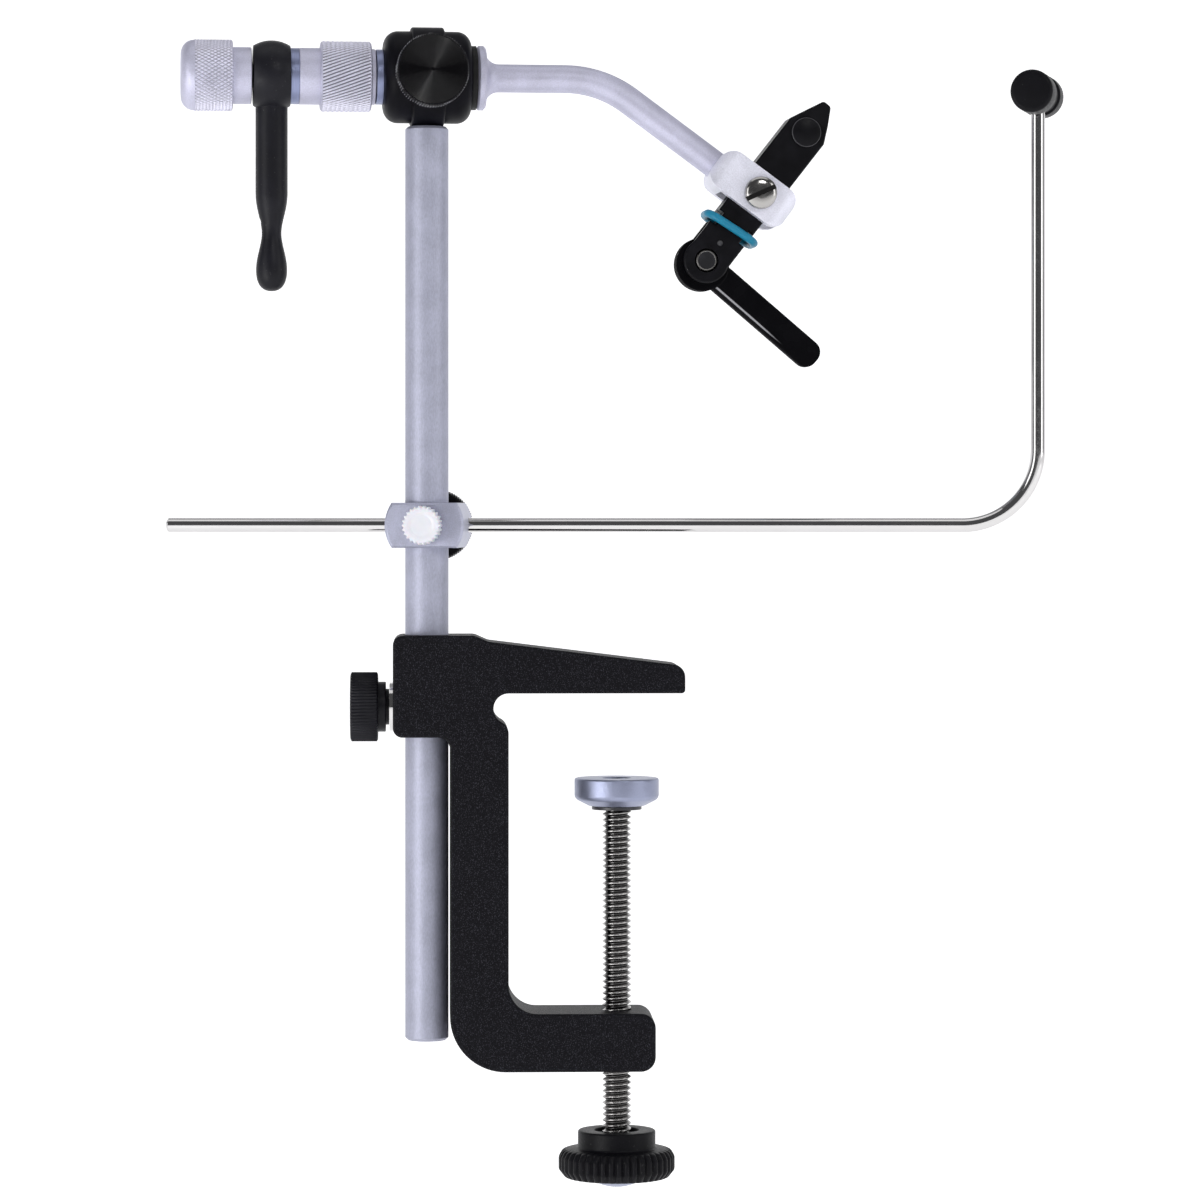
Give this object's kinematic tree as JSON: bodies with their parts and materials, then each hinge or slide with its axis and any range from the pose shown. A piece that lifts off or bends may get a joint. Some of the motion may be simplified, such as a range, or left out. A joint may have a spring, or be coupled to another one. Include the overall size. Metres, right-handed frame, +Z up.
{
  "type": "fly tying vise",
  "caption": "Rotary fly tying vise with a C-clamp foot, round stem, crank-turned head with drag collar, bent arm with lever-locked hook jaws, and a swinging bobbin cradle.",
  "frame": {"origin": "on the clamp screw's axis, in the underside of the clamp's upper arm, which sits on the table top, at the middle of the clamp's thickness", "axes": "+X along the clamp's upper arm and roughly towards the jaws, +Y to the back, +Z up along the stem"},
  "size_m": [0.1986, 0.0479, 0.2552],
  "materials": {
    "black_powder_coat": "fine speckled powder coat",
    "black_anodised": "satin black anodised",
    "black_steel": "black oxide steel",
    "gloss_black_steel": "glossy black steel",
    "black_plastic": "satin moulded plastic",
    "blasted_aluminium": "fine bead-blasted",
    "blue_grey_metal": "turned, blue-grey",
    "stem_steel": "satin ground",
    "polished_steel": "mirror polished",
    "thread_steel": "rolled thread, dark steel",
    "white_nylon": "white nylon",
    "black_acetal": "black bearing plastic",
    "teal_rubber": "soft teal rubber"
  },
  "bodies": {
    "clamp": {"clamp_frame": "black_powder_coat", "stem_lock_washer": "polished_steel"},
    "clamp_foot": {"clamp_pad": "blasted_aluminium"},
    "clamp_spindle": {"clamp_screw": "thread_steel", "clamp_handwheel": "black_plastic", "handwheel_cap": "polished_steel", "clamp_pad_clip": "thread_steel", "clamp_pad_retainer": "thread_steel"},
    "stem_lock": {"stem_lock_knob": "black_plastic", "stem_lock_stud": "thread_steel"},
    "stem": {"stem": "stem_steel", "stem_stud": "thread_steel"},
    "head": {"head_barrel": "black_anodised", "rotor_bush_left": "black_acetal", "rotor_bush_right": "black_acetal"},
    "brake_shoe": {"brake_plug": "white_nylon"},
    "brake": {"brake_knob": "black_anodised", "brake_stud": "thread_steel"},
    "rotor": {"rotor_arm": "blasted_aluminium", "rotor_spacer": "blue_grey_metal", "drag_collar": "blasted_aluminium", "collar_set_screw": "thread_steel", "crank_washer": "blue_grey_metal", "crank_stud": "black_steel", "crank_handle": "black_plastic", "jaw_holder": "blasted_aluminium", "jaw_screw": "polished_steel"},
    "end_nut": {"end_knob": "blasted_aluminium"},
    "jaws": {"rear_jaw": "black_steel", "cam_pin": "black_steel", "jaw_o_ring": "teal_rubber"},
    "rocker": {"front_jaw": "black_steel", "jaw_gap_screw": "black_steel", "cam_follower_pin": "black_steel"},
    "lever": {"cam_lever": "gloss_black_steel"},
    "cradle": {"cradle_bracket": "blasted_aluminium"},
    "cradle_lock": {"cradle_stem_screw": "white_nylon"},
    "rod_lock": {"cradle_rod_knob": "black_anodised", "cradle_rod_stud": "thread_steel"},
    "cradle_arm": {"cradle_rod": "polished_steel", "cradle_peg": "black_plastic"}
  },
  "joints": [
    {"name": "clamp_travel", "type": "slide", "parent": "clamp", "child": "clamp_foot", "axis": [0, 0, 1], "range_m": [-0.0438, 0.0132]},
    {"name": "clamp_turn", "type": "hinge", "parent": "clamp_foot", "child": "clamp_spindle", "pos_m": [0, 0, 0], "axis": [0, 0, 1], "range_deg": [-12425, 3750]},
    {"name": "stem_lock_turn", "type": "hinge", "parent": "clamp", "child": "stem_lock", "pos_m": [-0.05, 0, -0.0032], "axis": [1, 0, 0], "range_deg": [-720, 0]},
    {"name": "stem_height", "type": "slide", "parent": "clamp", "child": "stem", "axis": [0, 0, 1], "range_m": [-0.018, 0.055]},
    {"name": "head_swivel", "type": "hinge", "parent": "stem", "child": "head", "pos_m": [-0.0418, 0, 0.124], "axis": [0, 0, 1], "continuous": true},
    {"name": "rotor_spin", "type": "hinge", "parent": "head", "child": "rotor", "pos_m": [-0.0418, 0, 0.1352], "axis": [0.9971, 0.0767, 0], "continuous": true},
    {"name": "brake_press", "type": "slide", "parent": "head", "child": "brake_shoe", "axis": [-0.0767, 0.9971, 0], "range_m": [-0.0008, 0.00028]},
    {"name": "brake_turn", "type": "hinge", "parent": "brake_shoe", "child": "brake", "pos_m": [-0.04073, -0.01396, 0.1352], "axis": [-0.0767, 0.9971, 0], "range_deg": [-361, 130]},
    {"name": "end_knob_turn", "type": "hinge", "parent": "rotor", "child": "end_nut", "pos_m": [-0.08368, -0.00322, 0.1352], "axis": [0.9971, 0.0767, 0], "range_deg": [-720, 0]},
    {"name": "jaw_angle", "type": "hinge", "parent": "rotor", "child": "jaws", "pos_m": [0.03106, 0.00561, 0.10989], "axis": [-0.0767, 0.9971, 0], "range_deg": [-20, 20]},
    {"name": "lever_turn", "type": "hinge", "parent": "jaws", "child": "lever", "pos_m": [0.01958, 0.00472, 0.09516], "axis": [-0.0767, 0.9971, 0], "range_deg": [0, 95]},
    {"name": "jaw_rock", "type": "hinge", "parent": "jaws", "child": "rocker", "pos_m": [0.03124, 0.00331, 0.10989], "axis": [-0.7857, -0.0605, 0.6157], "range_deg": [0, 1.4], "deforming": ["jaw_o_ring"]},
    {"name": "cradle_swivel", "type": "hinge", "parent": "stem", "child": "cradle", "pos_m": [-0.0418, 0, 0.0367], "axis": [0, 0, 1], "continuous": true},
    {"name": "cradle_lock_turn", "type": "hinge", "parent": "cradle", "child": "cradle_lock", "pos_m": [-0.04258, -0.00796, 0.0367], "axis": [0.0976, 0.9952, 0], "range_deg": [-720, 0]},
    {"name": "rod_lock_turn", "type": "hinge", "parent": "cradle", "child": "rod_lock", "pos_m": [-0.03985, 0.0199, 0.0367], "axis": [-0.0976, -0.9952, 0], "range_deg": [-720, 0]},
    {"name": "rod_reach", "type": "slide", "parent": "cradle", "child": "cradle_arm", "axis": [0.9952, -0.0976, 0], "range_m": [-0.025, 0.045]}
  ],
  "couplings": [
    {"joint": "clamp_turn", "follows": "clamp_travel", "rad_per_m": 4947.4},
    {"joint": "brake_turn", "follows": "brake_press", "rad_per_m": 7854},
    {"joint": "jaw_rock", "follows": "lever_turn", "ratio": 0.014737}
  ]
}
